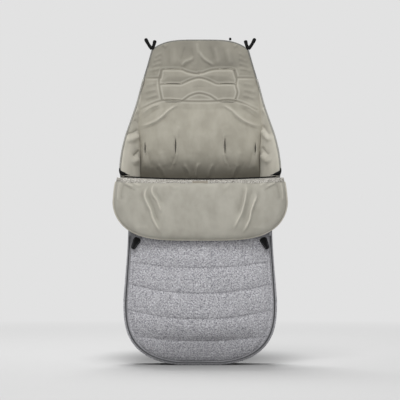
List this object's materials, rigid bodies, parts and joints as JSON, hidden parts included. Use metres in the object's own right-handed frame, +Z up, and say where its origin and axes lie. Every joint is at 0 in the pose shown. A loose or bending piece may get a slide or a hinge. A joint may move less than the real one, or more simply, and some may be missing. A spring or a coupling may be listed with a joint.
{
  "type": "stroller footmuff",
  "caption": "Padded stroller footmuff bag with harness slots, side zips and an apron whose top folds down as a cuff.",
  "frame": {"origin": "on the floor under the middle of the bag's overall box, which is the foot's lowest flat", "axes": "+Z up from the foot to the crown, the longest extent; +Y to the back, the shortest extent, with the opening and the cuff to -Y; +X to the right seen from the front"},
  "size_m": [0.5196, 0.19, 0.977],
  "materials": {
    "melange": "grey melange woven outer cloth, matt",
    "velour": "taupe short-pile velour lining",
    "wadding": "white polyester wadding inside the quilting",
    "piping": "mid grey covered piping cord",
    "crest_binding": "dark binding along the apron's top edge",
    "webbing": "black woven webbing",
    "zip_tape": "grey woven zip tape",
    "zip_coil": "dark grey nylon coil",
    "zip_metal": "grey enamelled zinc slider and wire link"
  },
  "bodies": {
    "bag": {"back_shell": "melange", "seat_wadding": "wadding", "lower_channel_wadding": "wadding", "upper_channel_wadding": "wadding", "crown_wadding": "wadding", "seat_lining": "velour", "crown_piping": "piping", "crown_loop_end": "webbing", "apron_shell": "melange", "apron_wadding": "wadding", "apron_lining": "velour", "crest_binding": "crest_binding", "crest_fold": "melange", "foot_gusset_shell": "melange", "foot_gusset_lining": "velour", "foot_zip_tape": "zip_tape", "foot_zip_chain": "zip_coil", "left_upper_shoulder_slot_binding": "velour", "left_middle_shoulder_slot_binding": "velour", "left_lower_shoulder_slot_binding": "velour", "left_seat_slot_binding": "velour", "left_lap_slot_binding": "velour", "right_upper_shoulder_slot_binding": "velour", "right_middle_shoulder_slot_binding": "velour", "right_lower_shoulder_slot_binding": "velour", "right_seat_slot_binding": "velour", "right_lap_slot_binding": "velour", "left_gusset_shell": "melange", "right_gusset_shell": "melange", "left_gusset_lining": "velour", "right_gusset_lining": "velour", "left_wing_piping": "piping", "right_wing_piping": "piping", "left_zip_tape": "zip_tape", "right_zip_tape": "zip_tape", "left_zip_chain": "zip_coil", "right_zip_chain": "zip_coil", "left_zip_fold": "webbing", "right_zip_fold": "webbing", "left_outer_tie": "webbing", "right_outer_tie": "webbing", "left_inner_tie": "webbing", "right_inner_tie": "webbing"},
    "cuff": {"cuff_lining": "velour", "cuff_wadding": "wadding", "cuff_shell": "melange", "cuff_hem": "velour", "left_cuff_facing": "melange", "right_cuff_facing": "melange", "cuff_tab": "velour"},
    "left_slider": {"left_zip_slider": "zip_metal"},
    "left_pull": {"left_pull_link": "zip_metal", "left_pull_loop": "webbing"},
    "right_slider": {"right_zip_slider": "zip_metal"},
    "right_pull": {"right_pull_link": "zip_metal", "right_pull_loop": "webbing"}
  },
  "joints": [
    {"name": "cuff_fold", "type": "hinge", "parent": "bag", "child": "cuff", "pos_m": [0, -0.066, 0.5525], "axis": [-1, 0, 0], "range_deg": [0, 165]},
    {"name": "left_slider_slide", "type": "slide", "parent": "bag", "child": "left_slider", "axis": [-0.0635, 0, -0.998], "range_m": [0, 0.17]},
    {"name": "left_pull_swing", "type": "hinge", "parent": "left_slider", "child": "left_pull", "pos_m": [-0.20776, -0.0245, 0.39], "axis": [-1, 0, 0], "range_deg": [0, 75]},
    {"name": "right_slider_slide", "type": "slide", "parent": "bag", "child": "right_slider", "axis": [0.0635, 0, -0.998], "range_m": [0, 0.17]},
    {"name": "right_pull_swing", "type": "hinge", "parent": "right_slider", "child": "right_pull", "pos_m": [0.20776, -0.0245, 0.39], "axis": [-1, 0, 0], "range_deg": [0, 75]}
  ]
}
